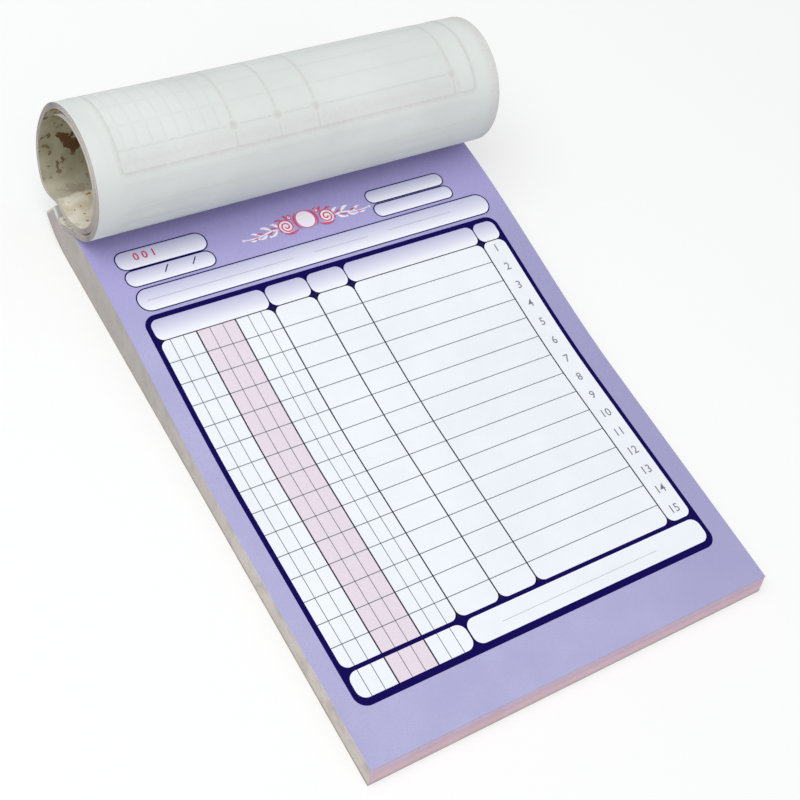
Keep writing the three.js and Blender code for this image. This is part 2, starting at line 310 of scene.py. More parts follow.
# Painted shadow of the roll: a more violet lilac at the head, where the roll shades the sheet.
painted_roll_shadow = mottle(tree, place, "#aaa3d4", "#a49ccf", 1800, 0.4, 0.7, 2.0)
shaded_at_head = graded(tree, place, "Y", 0.042, 0.068, shaded_to_right.outputs[2], painted_roll_shadow)
felted(tree, shader, place, shaded_at_head, 1300, 0.25)
# Paper, sides and front of each kind of leaf, pink or white, and the printed face of the white ones.
unused_finishes = [pink_paper, white_paper, pink_side, white_side, pink_front, white_front, lilac_print]

front_rows = [-90, -75, *numpy.linspace(-60, bow_places[0], 22)]
stack_rows = [*front_rows, *[y for y in bow_places if y > bow_places[0]], CREASE + 1.5, CREASE + 3]
chance = random.Random(4)
BUNDLES, LEAVES_IN_BUNDLE = 13, 6
# How far the bundles, and the leaves' left, right and front edges, lie out of line at most.
BUNDLE_SLIP, LEFT_SLIP, RIGHT_SLIP, FRONT_SLIP = 0.03, 0.025, 0.4, 0.09
for bundle in range(BUNDLES):
    block = bmesh.new()
    shift = chance.uniform(0, BUNDLE_SLIP)
    for leaf in range(LEAVES_IN_BUNDLE):
        bottom = BOARD_TOP + (bundle * LEAVES_IN_BUNDLE + leaf) * LEAF
        left = -PAGE_WIDTH / 2 + shift + chance.uniform(0, LEFT_SLIP)
        right = PAGE_WIDTH / 2 - chance.uniform(0, RIGHT_SLIP)
        share = (bottom - BOARD_TOP) / (INVOICE_TOP - BOARD_TOP)
        front = FRONT + share * FRONT_SET_BACK + chance.uniform(0, FRONT_SLIP)
        rows = [front, *stack_rows, LEAF_END]
        kind = leaf % 2
        face = 6 if kind else 0
        edges = (kind + 2, kind + 4)
        lay_leaf(block, [left, right], rows, bottom, bottom + LEAF, kind, face, edge_finishes=edges)
    number = f"{bundle + 1:02d}"
    piece = make_piece(f"unused_leaves_{number}", block, in_stack, unused_finishes)
    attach(piece, "pad")
    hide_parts(f"unused_sets_{number}")

# Copy leaf of the top set
# The pink leaf under the top invoice, perforated near the binding so that it tears off cleanly.
# It bows with the pad and turns up with the leaves over it; its stub stays under the binding strip.

SLOT_LENGTH, SLOT_WIDTH, SLOT_PITCH, SLOT_COUNT = 1.6, 0.4, 4, 36
PERFORATION_RUN = 1.5
tear_y = rise_y - PERFORATION_RUN * math.cos(RISE)
tear_z = rise_z + PERFORATION_RUN * math.sin(RISE)
tear_line = uncurled(tear_y, tear_z)[0]
slot_edges = []
for slot in range(SLOT_COUNT):
    middle = (slot - (SLOT_COUNT - 1) / 2) * SLOT_PITCH
    slot_edges += [middle - SLOT_LENGTH / 2, middle + SLOT_LENGTH / 2]
slot_rows = [tear_line - SLOT_WIDTH / 2, tear_line + SLOT_WIDTH / 2]


def in_slot(centre):
    """Whether a face of the flat leaf lies in one of the tear line's slots."""
    if not slot_rows[0] < centre.y < slot_rows[1]:
        return False
    place = (centre.x + SLOT_COUNT * SLOT_PITCH / 2) % SLOT_PITCH
    return abs(place - SLOT_PITCH / 2) < SLOT_LENGTH / 2


SLOT_ROOM = 0.15


def top_rows(front):
    """Rows of a leaf of the top set, from its front edge to the crease."""
    fine = [y for y in bow_places if not slot_rows[0] - SLOT_ROOM < y < slot_rows[1] + SLOT_ROOM]
    ahead = list(numpy.linspace(front, bow_places[0] - 2, 12))
    return [*ahead, *sorted([*fine, *slot_rows])]


copy = bmesh.new()
# The copy lies this far in from the invoice's left, right and front edges.
COPY_LEFT_IN, COPY_RIGHT_IN, COPY_FRONT_IN = 0.1, 0.12, 0.1
copy_columns = [-PAGE_WIDTH / 2 + COPY_LEFT_IN, *slot_edges, PAGE_WIDTH / 2 - COPY_RIGHT_IN]
copy_share = (STACK_TOP - BOARD_TOP) / (INVOICE_TOP - BOARD_TOP)
copy_rows = top_rows(FRONT + copy_share * FRONT_SET_BACK + COPY_FRONT_IN)
# Room for the print on the leaf below: the copy and the invoice start this much higher.
PRINT_BELOW = 0.017
copy_foot = STACK_TOP + PRINT_BELOW
lay_leaf(copy, copy_columns, copy_rows, copy_foot, COPY_TOP, hole=in_slot, edge_finishes=(1, 2))
copy_leaf = make_piece("copy_sheet", copy, in_stack, [pink_paper, pink_side, pink_front])
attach(copy_leaf, "copy")
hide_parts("copy_leaf")

# Top invoice
# The leaf that is written on: white paper, its face flooded to the edges with a lilac tint.
# It lies on the copy, perforated like it, and turns up off it.

top = bmesh.new()
top_columns = [-PAGE_WIDTH / 2, *slot_edges, PAGE_WIDTH / 2]
sheet_rows = top_rows(FRONT + FRONT_SET_BACK)
lay_leaf(top, top_columns, sheet_rows, COPY_TOP + PRINT_BELOW, INVOICE_TOP, 0, 1, in_slot, (2, 3))
top_finishes = [white_paper, lilac_print, white_side, white_front]
top_sheet = make_piece("invoice_sheet", top, in_stack, top_finishes)
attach(top_sheet, "invoice")
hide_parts("invoice_leaf")

# Printed form
# The ruled form: a navy frame with fifteen rows of cells and a totals row. It is printed on the top
# sheet, the copy and the next invoice, and each ink is a flat face a hair above the one below it.

# How far an ink lies above the one below it, and the share of that on a leaf that others cover at rest.
INK, COVERED_INK = 0.012, 0.25
sheet_line = [in_stack(0, y, INVOICE_TOP) / MM for y in sheet_rows]
sheet_lengths = [0.0]
for before, after in zip(sheet_line, sheet_line[1:]):
    sheet_lengths.append(sheet_lengths[-1] + (after - before).length)


def on_leaf(level):
    """Gives the function that puts the form on the leaf whose upper face lies at that level."""
    thickness = 1 if level == INVOICE_TOP else COVERED_INK

    def placed(x, s, lift):
        y = numpy.interp(s, sheet_lengths, sheet_rows)
        return in_stack(x - PAGE_WIDTH / 2, y, level + lift * thickness)

    return placed


# A leaf that is printed: where the form lies on it, its body and slot, and the lengths and columns at
# which the ink is cut, so that it bends with the leaf.
TOP_SHEET = (on_leaf(INVOICE_TOP), "invoice", "form_paper", sheet_lengths, ())


def inset(made, face, width):
    """Draws a face's outline in by a width; the face itself becomes the middle."""
    bmesh.ops.inset_region(made, faces=[face], use_boundary=True, thickness=width, use_even_offset=True)


def box(made, x0, x1, s0, s1, corner=0.0, line=0.0, segments=8):
    """Adds a flat box with round corners, filled, or a bare outline if it is given a line."""
    square = bmesh.ops.create_grid(made, x_segments=1, y_segments=1, size=0.5)["verts"]
    face = square[0].link_faces[0]
    for vertex in square:
        vertex.co = Vector((x1 if vertex.co.x > 0 else x0, s1 if vertex.co.y > 0 else s0, 0))
    if corner:
        others = set(made.faces) - {face}
        bmesh.ops.bevel(
            made,
            geom=square,
            offset=corner,
            segments=segments,
            profile=0.5,
            affect="VERTICES",
            material=-1,
        )
        face = next(item for item in made.faces if item not in others)
    if line:
        inset(made, face, line)
        bmesh.ops.delete(made, geom=[face], context="FACES_ONLY")


def cut_across(made, axis, place):
    """Cuts flat shapes along the line that crosses an axis at a place."""
    bmesh.ops.bisect_plane(
        made,
        geom=[*made.verts, *made.edges, *made.faces],
        dist=1e-5,
        plane_co=(place, place, 0),
        plane_no=(1 - axis, axis, 0),
    )


def print_ink(name, made, layer, finish, leaf=TOP_SHEET):
    """Prints flat shapes on a leaf, in a layer of ink counted from the paper up."""
    placed, body, slot, lengths, columns = leaf
    for axis, cuts in ((1, lengths), (0, columns)):
        reach = [vertex.co[axis] for vertex in made.verts]
        for cut in cuts:
            if min(reach) < cut < max(reach):
                cut_across(made, axis, cut)
    for vertex in made.verts:
        vertex.co.z = layer * INK
    printed = make_piece(name, made, placed, [finish])
    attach(printed, body)


def ink(name, first, second, roughness=0.6, specular=0.08):
    """Offset ink on paper: it takes the paper's grain and a little unevenness in strength."""
    finish, tree, shader, place = new_finish(name, roughness, specular)
    body = mottle(tree, place, first, second, 1700, 0.35, 0.7, 3.0)
    felted(tree, shader, place, body, 1300, 0.2)
    return finish


# Navy ink: the heavy frame, near black in its depth.
navy_ink = ink("navy_ink", "#10054f", "#150a58", 0.65, 0.05)
# Black ink of the heavier rules.
black_ink = ink("black_line_ink", "#1b1c26", "#2b2c38")
# Grey ink of the hairlines between rows and narrow columns, and of the dots.
grey_ink = ink("grey_line_ink", "#5c666c", "#6d767c")
# Cell ground: bare paper, bluish white against the lilac.
cell_paper = paper("cell_ground", "#eff3f8", "#eaeff3", 0.75)
# Pale pink screen tint down three of the narrow columns.
pink_tint = ink("pink_tint", "#e6dae4", "#e1d5df", 0.7)

# Places on the form, from the sheet's left edge and along it from its front edge. The headings meet the
# cells at the star line, where their round corners leave small stars of the frame's navy.
ROW, ROWS = 7.783, 15
STAR_LINE = 144.35
BAR_LOW, BAR_HIGH = 26.9, 28.3
FRAME_LEFT, FRAME_RIGHT, FRAME_FOOT, FRAME_TOP = 6.0, 140.4, 16.1, 153.8
CELL_LEFT, CELL_RIGHT, CELL_FOOT, HEADING_TOP = 7.7, 138.8, 18.4, 152.0
GROUP_LINES = [47.4, 62.9, 77.0, 129.7]
FRAME_CORNER, CELL_CORNER, TOTAL_CORNER = 4.2, 2.6, 3.0
TOTALS_SPLIT_LEFT, TOTALS_SPLIT_RIGHT = 47.3, 47.9
GROUP_LINE, NARROW_LINE, ROW_LINE, BAND_LINE, STAR_RULE = 0.42, 0.22, 0.26, 0.46, 0.32
# Lefts and rights of the groups of columns, clear of the lines between them.
group_lefts = [CELL_LEFT, *[x + GROUP_LINE / 2 for x in GROUP_LINES]]
group_rights = [*[x - GROUP_LINE / 2 for x in GROUP_LINES], CELL_RIGHT]
GROUPS = list(zip(group_lefts, group_rights))
NARROW_LINES = [11.3, 15.8, 20.35, 24.85, 29.35, 33.9, 38.4, 42.95]
BAND_LEFT, BAND_RIGHT = NARROW_LINES[2], NARROW_LINES[5]
CELL_TOP = STAR_LINE - 0.12


def draw_frame(made):
    box(made, FRAME_LEFT, FRAME_RIGHT, FRAME_FOOT, FRAME_TOP, FRAME_CORNER, segments=12)


def draw_cells(made):
    for group in GROUPS:
        box(made, *group, BAR_HIGH, CELL_TOP, CELL_CORNER)
    box(made, CELL_LEFT, TOTALS_SPLIT_LEFT, CELL_FOOT, BAR_LOW, TOTAL_CORNER)
    box(made, TOTALS_SPLIT_RIGHT, CELL_RIGHT, CELL_FOOT, BAR_LOW, TOTAL_CORNER)


def draw_column_line(made, x, width):
    """Adds a line down the rows and, below the bar, down the totals."""
    box(made, x - width / 2, x + width / 2, BAR_HIGH, STAR_LINE)
    box(made, x - width / 2, x + width / 2, CELL_FOOT, BAR_LOW)


def draw_hairlines(made):
    for row in range(1, ROWS):
        s = STAR_LINE - row * ROW
        box(made, CELL_LEFT, GROUP_LINES[-1], s - ROW_LINE / 2, s + ROW_LINE / 2)
    for x in NARROW_LINES:
        if x not in (BAND_LEFT, BAND_RIGHT):
            draw_column_line(made, x, NARROW_LINE)


def draw_rules(made):
    for x in (BAND_LEFT, BAND_RIGHT):
        draw_column_line(made, x, BAND_LINE)
    for x in GROUP_LINES:
        box(made, x - GROUP_LINE / 2, x + GROUP_LINE / 2, BAR_HIGH, STAR_LINE)
    box(made, CELL_LEFT, CELL_RIGHT, STAR_LINE - STAR_RULE / 2, STAR_LINE + STAR_RULE / 2)


# The leaves that carry the form: how the names of their inks start, the leaf, and its cells' ground.
FORM_LEAVES = (
    ("", TOP_SHEET, cell_paper),
    ("copy_", (on_leaf(COPY_TOP), "copy", "pink_paper", sheet_lengths, ()), pink_paper),
    ("next_", (on_leaf(STACK_TOP), "pad", "white_paper", sheet_lengths, ()), cell_paper),
)
for start, leaf, ground in FORM_LEAVES:
    for name, draw, layer, finish in (
        ("frame", draw_frame, 1, navy_ink),
        ("cells", draw_cells, 2, ground),
        ("hairlines", draw_hairlines, 4, grey_ink),
        ("rules", draw_rules, 5, black_ink),
    ):
        made = bmesh.new()
        draw(made)
        print_ink(f"{start}form_{name}", made, layer, finish, leaf)

band = bmesh.new()
box(band, BAND_LEFT, BAND_RIGHT, BAR_HIGH, CELL_TOP)
box(band, BAND_LEFT, BAND_RIGHT, CELL_FOOT, BAR_LOW)
print_ink("form_pink_band", band, 3, pink_tint)

# Headings and the boxes above the frame
# Rounded fields whose ground fades from the lilac of the sheet at the top to white at the foot. Those
# above the frame have a thin navy outline, and some hold dots, date slashes or a serial number.

# Fading ground: the share of white comes from how high in its box each point lies.
fading_ground, tree, shader, place = new_finish("fading_ground", 0.68, 0.3)
share = add_node(tree, "ShaderNodeAttribute", attribute_name="height_in_box")
fade = add_node(tree, "ShaderNodeValToRGB", {"Fac": share.outputs["Fac"]})
stops = fade.color_ramp.elements
stops[0].color, stops[0].position = colour("#f0f1f8"), 0.1
stops[1].color, stops[1].position = colour("#bab9d7"), 1.0
stops.new(0.55).color = colour("#d5d6e8")
felted(tree, shader, place, fade.outputs[0], 1300, 0.25)

SLICES = 8


def fading_box(name, boxes, layer):
    """Boxes with the fading ground: each is sliced into bands, which carry their share of its height."""
    made = bmesh.new()
    made.verts.layers.float.new("height_in_box")
    for x0, x1, s0, s1, corner in boxes:
        part = bmesh.new()
        box(part, x0, x1, s0, s1, corner)
        for slice_number in range(1, SLICES):
            cut_across(part, 1, s0 + (s1 - s0) * slice_number / SLICES)
        part_layer = part.verts.layers.float.new("height_in_box")
        for vertex in part.verts:
            vertex[part_layer] = (vertex.co.y - s0) / (s1 - s0)
        carrier = bpy.data.meshes.new("carrier")
        part.to_mesh(carrier)
        part.free()
        made.from_mesh(carrier)
        bpy.data.meshes.remove(carrier)
    print_ink(name, made, layer, fading_ground)


headings = [(*group, STAR_LINE + STAR_RULE / 2, HEADING_TOP, CELL_CORNER) for group in GROUPS]
fading_box("form_headings", headings, 3)
for start, leaf, ground in FORM_LEAVES[1:]:
    plain = bmesh.new()
    for heading in headings:
        box(plain, *heading)
    print_ink(f"{start}form_headings", plain, 3, ground, leaf)

# Left, right, foot, top and corner of each field: the wide one, two at the left and two at the right.
FIELDS = [
    (7.4, 141.8, 154.9, 163.6, 4.2),
    (7.4, 38.7, 164.4, 170.9, 3.1),
    (7.2, 38.9, 170.9, 178.4, 3.4),
    (99.2, 131.4, 164.6, 170.4, 2.8),
    (99.0, 130.8, 170.5, 176.3, 2.8),
]
FIELD_LINE = 0.42
fading_box("form_fields", FIELDS, 1)
for start, leaf, _ in FORM_LEAVES:
    outlines = bmesh.new()
    for field in FIELDS:
        box(outlines, *field, line=FIELD_LINE)
    print_ink(f"{start}field_outlines", outlines, 2, navy_ink, leaf)

dots = bmesh.new()
DOT_LENGTH, DOT_WIDTH, DOT_PITCH = 0.304, 0.16, 0.62
for start, end, s in ((11, 63.5, 159.0), (71, 92.5, 159.1), (100, 126.5, 159.3), (59, 119.5, 22.0)):
    for number in range(int((end - start) / DOT_PITCH)):
        x = start + number * DOT_PITCH
        box(dots, x, x + DOT_LENGTH, s, s + DOT_WIDTH)
print_ink("dotted_lines", dots, 6, grey_ink)

# Numbers on the form
# Row numbers 1 to 15 in grey, two date slashes in navy and a plain serial number in red, printed flat
# as the lines are.

# Grey ink of the row numbers.
number_ink = ink("row_number_ink", "#86838a", "#949197")
# Red ink of the numbering stamp.
red_ink = ink("numbering_red", "#c93a4d", "#d4566a")

# A figure's height as a share of the font's size.
CAPITAL_SHARE = 0.7


def letters(made, text, x, s, height, weight, lean=0.0):
    """Adds figures as flat mesh, centred on a place of the form, slanted by lean, thickened by weight."""
    line = bpy.data.curves.new("figures", "FONT")
    line.body = text
    line.size = height / CAPITAL_SHARE
    line.align_x, line.align_y = "CENTER", "CENTER"
    line.shear, line.offset = lean, weight
    line.resolution_u = 3
    carrier = bpy.data.objects.new("figures", line)
    bpy.context.scene.collection.objects.link(carrier)
    bpy.context.view_layer.update()
    mesh = bpy.data.meshes.new_from_object(carrier.evaluated_get(bpy.context.evaluated_depsgraph_get()))
    mesh.transform(Matrix.Translation((x, s, 0)))
    made.from_mesh(mesh)
    bpy.data.objects.remove(carrier)
    bpy.data.curves.remove(line)
    bpy.data.meshes.remove(mesh)


NUMBER_MIDDLE, NUMBER_HEIGHT, NUMBER_DROP = 134.3, 2.9, 0.42
numbers = bmesh.new()
for row in range(ROWS):
    s = STAR_LINE - (row + NUMBER_DROP) * ROW
    letters(numbers, str(row + 1), NUMBER_MIDDLE, s, NUMBER_HEIGHT, weight=0.03)
print_ink("row_numbers", numbers, 4, number_ink)

slashes = bmesh.new()
for x in (21.2, 30.9):
    letters(slashes, "/", x, 168.2, 2.3, weight=0.09, lean=0.5)
print_ink("date_slashes", slashes, 3, navy_ink)

serial = bmesh.new()
letters(serial, "0 0 1", 17.5, 175.2, 2.7, weight=0.06)
print_ink("serial_number", serial, 3, red_ink)

# Flourish
# A plain printer's ornament between the boxes: a white disc between two roses, each a red spiral on
# white, with a leafy stem that runs out to either side.

# White of the ornament, left unprinted in the lilac.
ornament_white = paper("ornament_white", "#f4eef4", "#efe6ee", 0.75)
# Rose red of the ornament's strokes.
rose_ink = ink("rose_ink", "#c9486a", "#d6688a")


def stroke(made, path, widths):
    """Adds a flat stroke along a path, of one width or of a list with a width for each point."""
    if not isinstance(widths, list):
        widths = [widths] * len(path)
    grid = bmesh.ops.create_grid(made, x_segments=len(path) - 1, y_segments=1, size=0.5)["verts"]
    for vertex in grid:
        step = round((vertex.co.x + 0.5) * (len(path) - 1))
        side = 1 if vertex.co.y > 0 else -1
        here, ahead = Vector(path[max(0, step - 1)]), Vector(path[min(len(path) - 1, step + 1)])
        along = (ahead - here).normalized()
        square = Vector((-along.y, along.x)) * side * widths[step] / 2
        vertex.co = Vector((path[step][0] + square.x, path[step][1] + square.y, 0))


def spiral(x, s, start_radius, end_radius, start_angle, turns, points):
    """A spiral path about a place of the form."""
    path = []
    for point in range(points):
        share = point / (points - 1)
        radius = start_radius + (end_radius - start_radius) * share
        angle = start_angle + turns * 2 * math.pi * share
        path.append((x + radius * math.cos(angle), s + radius * math.sin(angle)))
    return path


def dot(made, x, s, radius, segments=24):
    rim = bmesh.ops.create_circle(made, cap_ends=True, segments=segments, radius=radius)["verts"]
    bmesh.ops.translate(made, vec=(x, s, 0), verts=rim)


def petal(made, x, s, side, heading, bend, reach, widest):
    """Adds a stroke that swells and tapers, setting out at a heading and bending; returns its tip."""
    path, widths, steps = [(x, s)], [0.1], 9
    for step in range(1, steps + 1):
        angle = math.radians(heading + bend * step / steps)
        last = path[-1]
        stride = reach / steps
        path.append((last[0] + side * stride * math.cos(angle), last[1] + stride * math.sin(angle)))
        widths.append(0.1 + widest * math.sin(math.pi * step / steps))
    stroke(made, path, widths)
    return path[-1]


ORNAMENT_X, ORNAMENT_S, MEDALLION = 74.5, 172.0, 3.35
ROSE_APART, ROSE_DROP, STEM_END, STEM_S = 7.7, 0.9, 24.2, 170.0
# Sprigs of a stem: how far along it each starts, its heading and bend in degrees, its reach and width.
WHITE_SPRIGS = (
    (0.2, 82, -70, 4.2, 0.95),
    (1.6, -72, 74, 4.0, 0.8),
    (3.6, 70, -72, 4.4, 0.95),
    (5.6, -74, 96, 4.2, 0.8),
    (7.6, 62, -60, 3.6, 0.75),
    (9.4, -58, 84, 3.0, 0.6),
)
RED_SPRIGS = (
    (0.8, 52, -50, 3.0, 0.4),
    (2.9, -50, 60, 2.8, 0.4),
    (6.6, 44, -60, 3.0, 0.45),
    (8.8, -42, 60, 2.2, 0.4),
)
STEM_POINTS, CRESCENT_POINTS = 30, 20
white_strokes, red_strokes = bmesh.new(), bmesh.new()
dot(white_strokes, ORNAMENT_X, ORNAMENT_S, MEDALLION, 36)
rim = MEDALLION + 0.1
stroke(red_strokes, spiral(ORNAMENT_X, ORNAMENT_S, rim, rim, 0, 1, 44), 0.3)
for side in (-1, 1):
    facing = 0 if side > 0 else math.pi
    start, turns = facing - side * 0.9, side * 0.3
    crescent = spiral(ORNAMENT_X, ORNAMENT_S, rim + 0.8, rim + 0.6, start, turns, CRESCENT_POINTS)
    shares = [point / (CRESCENT_POINTS - 1) for point in range(CRESCENT_POINTS)]
    stroke(red_strokes, crescent, [0.2 + 0.6 * math.sin(math.pi * share) for share in shares])
    rose_x, rose_s = ORNAMENT_X + side * ROSE_APART, ORNAMENT_S - ROSE_DROP
    dot(white_strokes, rose_x, rose_s, 2.5)
    stroke(red_strokes, spiral(rose_x, rose_s, 0.4, 3.0, facing, -side * 2.1, 50), 0.5)
    bud_x, bud_s = rose_x - side * 2.6, rose_s + 3.1
    dot(white_strokes, bud_x, bud_s, 0.75, 16)
    stroke(red_strokes, spiral(bud_x, bud_s, 0.2, 1.15, facing, side * 1.4, 20), 0.36)
    petal(red_strokes, rose_x - side * 1.4, rose_s + 2.3, side, 100, -70, 2.6, 0.7)
    petal(red_strokes, rose_x - side * 3.9, rose_s - 1.9, side, -38, 62, 6.4, 0.8)
    petal(red_strokes, rose_x + side * 0.6, rose_s + 2.7, side, 40, -60, 2.6, 0.6)
    stem_x = rose_x + side * 2.3
    stem_run = ORNAMENT_X + side * STEM_END - stem_x
    stem, widths = [], []
    for point in range(STEM_POINTS):
        share = point / (STEM_POINTS - 1)
        stem_s = rose_s - 0.4 - (rose_s - 0.4 - STEM_S) * share + 0.35 * math.sin(share * 2.2 * math.pi)
        stem.append((stem_x + stem_run * share, stem_s))
        widths.append(0.75 - 0.42 * share)
    stroke(white_strokes, stem, widths)
    dot(white_strokes, *stem[-1], 0.5, 14)
    for sprigs, made in ((WHITE_SPRIGS, white_strokes), (RED_SPRIGS, red_strokes)):
        for along, heading, bend, reach, widest in sprigs:
            root = stem[round((STEM_POINTS - 1) * along / abs(stem_run))]
            tip = petal(made, *root, side, heading, bend, reach, widest)
            if made is white_strokes and heading < -60:
                dot(made, *tip, 0.42, 12)
print_ink("ornament_ground", white_strokes, 2, ornament_white)
print_ink("ornament_strokes", red_strokes, 4, rose_ink)

# Turned leaves
# Ten used sets, turned back over the binding and rolled into a loose scroll, their backs outside.
# Each is two leaves, which follow one another round the roll and end in an uneven fan inside it.

SET, TURNED_SETS = 0.16, 10
WALL, TURN_GAP, TURNED_CLEARANCE = 1.8, 0.35, 0.02
LEAF_RUN, ROLL_RADIUS, LOOSENESS = 12.2, 21.5, 5
LOOSE_FROM, LOOSE_TO, TUCK_FROM, TUCK_TO, LAST_TURN = 250, 332, 322, 350, 620
FINE_TURN, COARSE_TURN = 2, 3.5
TURNED_LENGTH, END_ROOM = CREASE - FRONT, 0.3
roll_y = rise_y - LEAF_RUN * math.cos(RISE) + ROLL_RADIUS * math.sin(RISE)
roll_z = rise_z + LEAF_RUN * math.sin(RISE) + ROLL_RADIUS * math.cos(RISE)
# Stations of the roll, as those of the rise: on along its slope, then round by degrees of turn.
roll_stations = list(rise_stations)
for step in range(1, STRAIGHT_STEPS):
    run = LEAF_RUN * step / STRAIGHT_STEPS
    y, z = rise_y - run * math.cos(RISE), rise_z + run * math.sin(RISE)
    roll_stations.append((y, z, math.sin(RISE), math.cos(RISE)))
turn = math.degrees(RISE)
while turn < LAST_TURN:
    slack = LOOSENESS * smooth_step((turn - LOOSE_FROM) / (LOOSE_TO - LOOSE_FROM))
    tuck = (LOOSENESS + WALL + TURN_GAP) * smooth_step((turn - TUCK_FROM) / (TUCK_TO - TUCK_FROM))
    radius, angle = ROLL_RADIUS + slack - tuck, math.radians(turn)
    y, z = roll_y - radius * math.sin(angle), roll_z - radius * math.cos(angle)
    roll_stations.append((y, z, math.sin(angle), math.cos(angle)))
    turn += FINE_TURN if TUCK_FROM - 12 < turn < TUCK_TO + 8 else COARSE_TURN


def rolled_rows(depth, length):
    """Lengths along a leaf at a depth in the roll, one for each station, up to the leaf's own length."""
    rows, spots = [0.0], []
    for y, z, ny, nz in roll_stations:
        inward = depth + (TURNED_CLEARANCE if spots else 0)
        spots.append(Vector((y + ny * inward, z + nz * inward)))
    for before, after in zip(spots, spots[1:]):
        rows.append(rows[-1] + (after - before).length)
    kept = [row for row in rows if row < length - END_ROOM]
    return [*kept, length], rows


LEAST_DENT, DENT, DENT_FROM, DENT_TO = 0.11, 0.16, 20, 45


def in_roll(depth, rows, x, length, height):
    """A point of a rolled leaf by its length from the crease, a height inwards of its outer face."""
    station = numpy.interp(length, rows, range(len(rows)))
    index = min(int(station), len(roll_stations) - 2)
    share = station - index
    pair = zip(roll_stations[index], roll_stations[index + 1])
    y, z, ny, nz = (start + (end - start) * share for start, end in pair)
    # A slow dent here and there, which the whole wall of the roll shares.
    waves = math.sin(x * 0.045 + length * 0.05 + 1.0) * math.sin(length * 0.06 + x * 0.012)
    dent = (LEAST_DENT + DENT * (1 + waves)) * smooth_step((length - DENT_FROM) / (DENT_TO - DENT_FROM))
    inward = depth + height + (TURNED_CLEARANCE + dent if length else 0)
    return Vector((x, y + ny * inward, z + nz * inward)) * MM


# Backs of the used leaves: off-white, a little green-grey, clouded by what is printed on the front.
BACK_WHITE, BACK_GREY, BACK_CLOUDS = "#dee2df", "#d7dbd8", 35
leaf_back = paper("leaf_back_paper", BACK_WHITE, BACK_GREY, 0.85, BACK_CLOUDS, 1300, 0.45)
# Faces of the rolled copies: a washed-out pink.
rolled_copy = paper("rolled_copy_paper", "#e4d4cf", "#dac9c3", 0.85, 35, 1300, 0.45)
# Cut edges of the rolled leaves: grey-mauve, with painted shade for the dark gaps between them.
shaded_rolled_edges = paper("shaded_rolled_edges", "#b3aaa9", "#a39a9b", 0.9, 60, 2600, 0.5)


def in_metres(x, y, z):
    return Vector((x, y, z)) * MM


roll_columns = list(numpy.linspace(-PAGE_WIDTH / 2, PAGE_WIDTH / 2, 17))
SHORTEST_BY, NARROWEST_BY = 0.8, 0.35
for number in range(TURNED_SETS):
    pair = bmesh.new()
    for leaf in range(2):
        depth = number * SET + leaf * LEAF
        kept, rows = rolled_rows(depth, TURNED_LENGTH - chance.uniform(0, SHORTEST_BY) * (number > 0))
        left, right = chance.uniform(0, NARROWEST_BY), chance.uniform(0, NARROWEST_BY)
        if number == 0 and leaf == 0:
            left = right = 0
        columns = [roll_columns[0] + left, *roll_columns[1:-1], roll_columns[-1] - right]
        before = set(pair.verts)
        lay_leaf(pair, columns, kept, 0, LEAF, leaf, edge_finishes=(2, 2))
        for vertex in set(pair.verts) - before:
            vertex.co = in_roll(depth, rows, *vertex.co) / MM
    name = f"{number + 1:02d}"
    rolled_finishes = [leaf_back, rolled_copy, shaded_rolled_edges]
    piece = make_piece(f"rolled_leaves_{name}", pair, in_metres, rolled_finishes)
    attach(piece, "roll")
    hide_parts(f"turned_set_{name}")

# Print that shows through the outermost leaf
# The same form as on the top sheet, seen through the paper from behind as a faint pinkish grey. Its bars
# and outlines are strongest along their middle and fade out to their edges.

# Show-through: the clouded paper itself, tinted in specks where print lies behind it.
show_through, tree, shader, place = new_finish("show_through", 0.85, 0.2)
ground = mottle(tree, place, BACK_WHITE, BACK_GREY, BACK_CLOUDS)
strength = add_node(tree, "ShaderNodeAttribute", attribute_name="strength")
specks = mottle(tree, place, (0.45, 0.45, 0.45, 1), (1, 1, 1, 1), 800, 0.3, 0.7, 3.0)
share = add_node(tree, "ShaderNodeMath", {0: strength.outputs["Fac"], 1: specks}, operation="MULTIPLY")
tints = {"Factor": share.outputs[0], 6: ground, 7: colour("#c2b9b6")}
tinted = add_node(tree, "ShaderNodeMix", tints, data_type="RGBA")
felted(tree, shader, place, tinted.outputs[2], 1300, 0.45)

outer_kept, outer_rows = rolled_rows(0, TURNED_LENGTH)
# The turned leaf's print lies this much further round the roll than the top sheet's would.
FURTHER_ROUND = 2.0
through_end = sheet_lengths[-1] + FURTHER_ROUND


def on_roll(x, s, lift):
    """A point of the form on the outer face of the outermost turned leaf."""
    return in_roll(0, outer_rows, x - PAGE_WIDTH / 2, through_end - s, -lift)


def soft_bar(made, x0, x1, s0, s1, strength):
    """Adds a straight bar of show-through, strongest along its middle line."""
    upright = s1 - s0 > x1 - x0
    layer = made.verts.layers.float["strength"]
    x_parts, y_parts = (2, 1) if upright else (1, 2)
    grid = bmesh.ops.create_grid(made, x_segments=x_parts, y_segments=y_parts, size=0.5)["verts"]
    for vertex in grid:
        across = vertex.co.x if upright else vertex.co.y
        vertex[layer] = strength if abs(across) < 0.25 else 0.0
        x = (x0 + x1) / 2 + vertex.co.x * (x1 - x0)
        s = (s0 + s1) / 2 + vertex.co.y * (s1 - s0)
        vertex.co = Vector((x, s, 0))


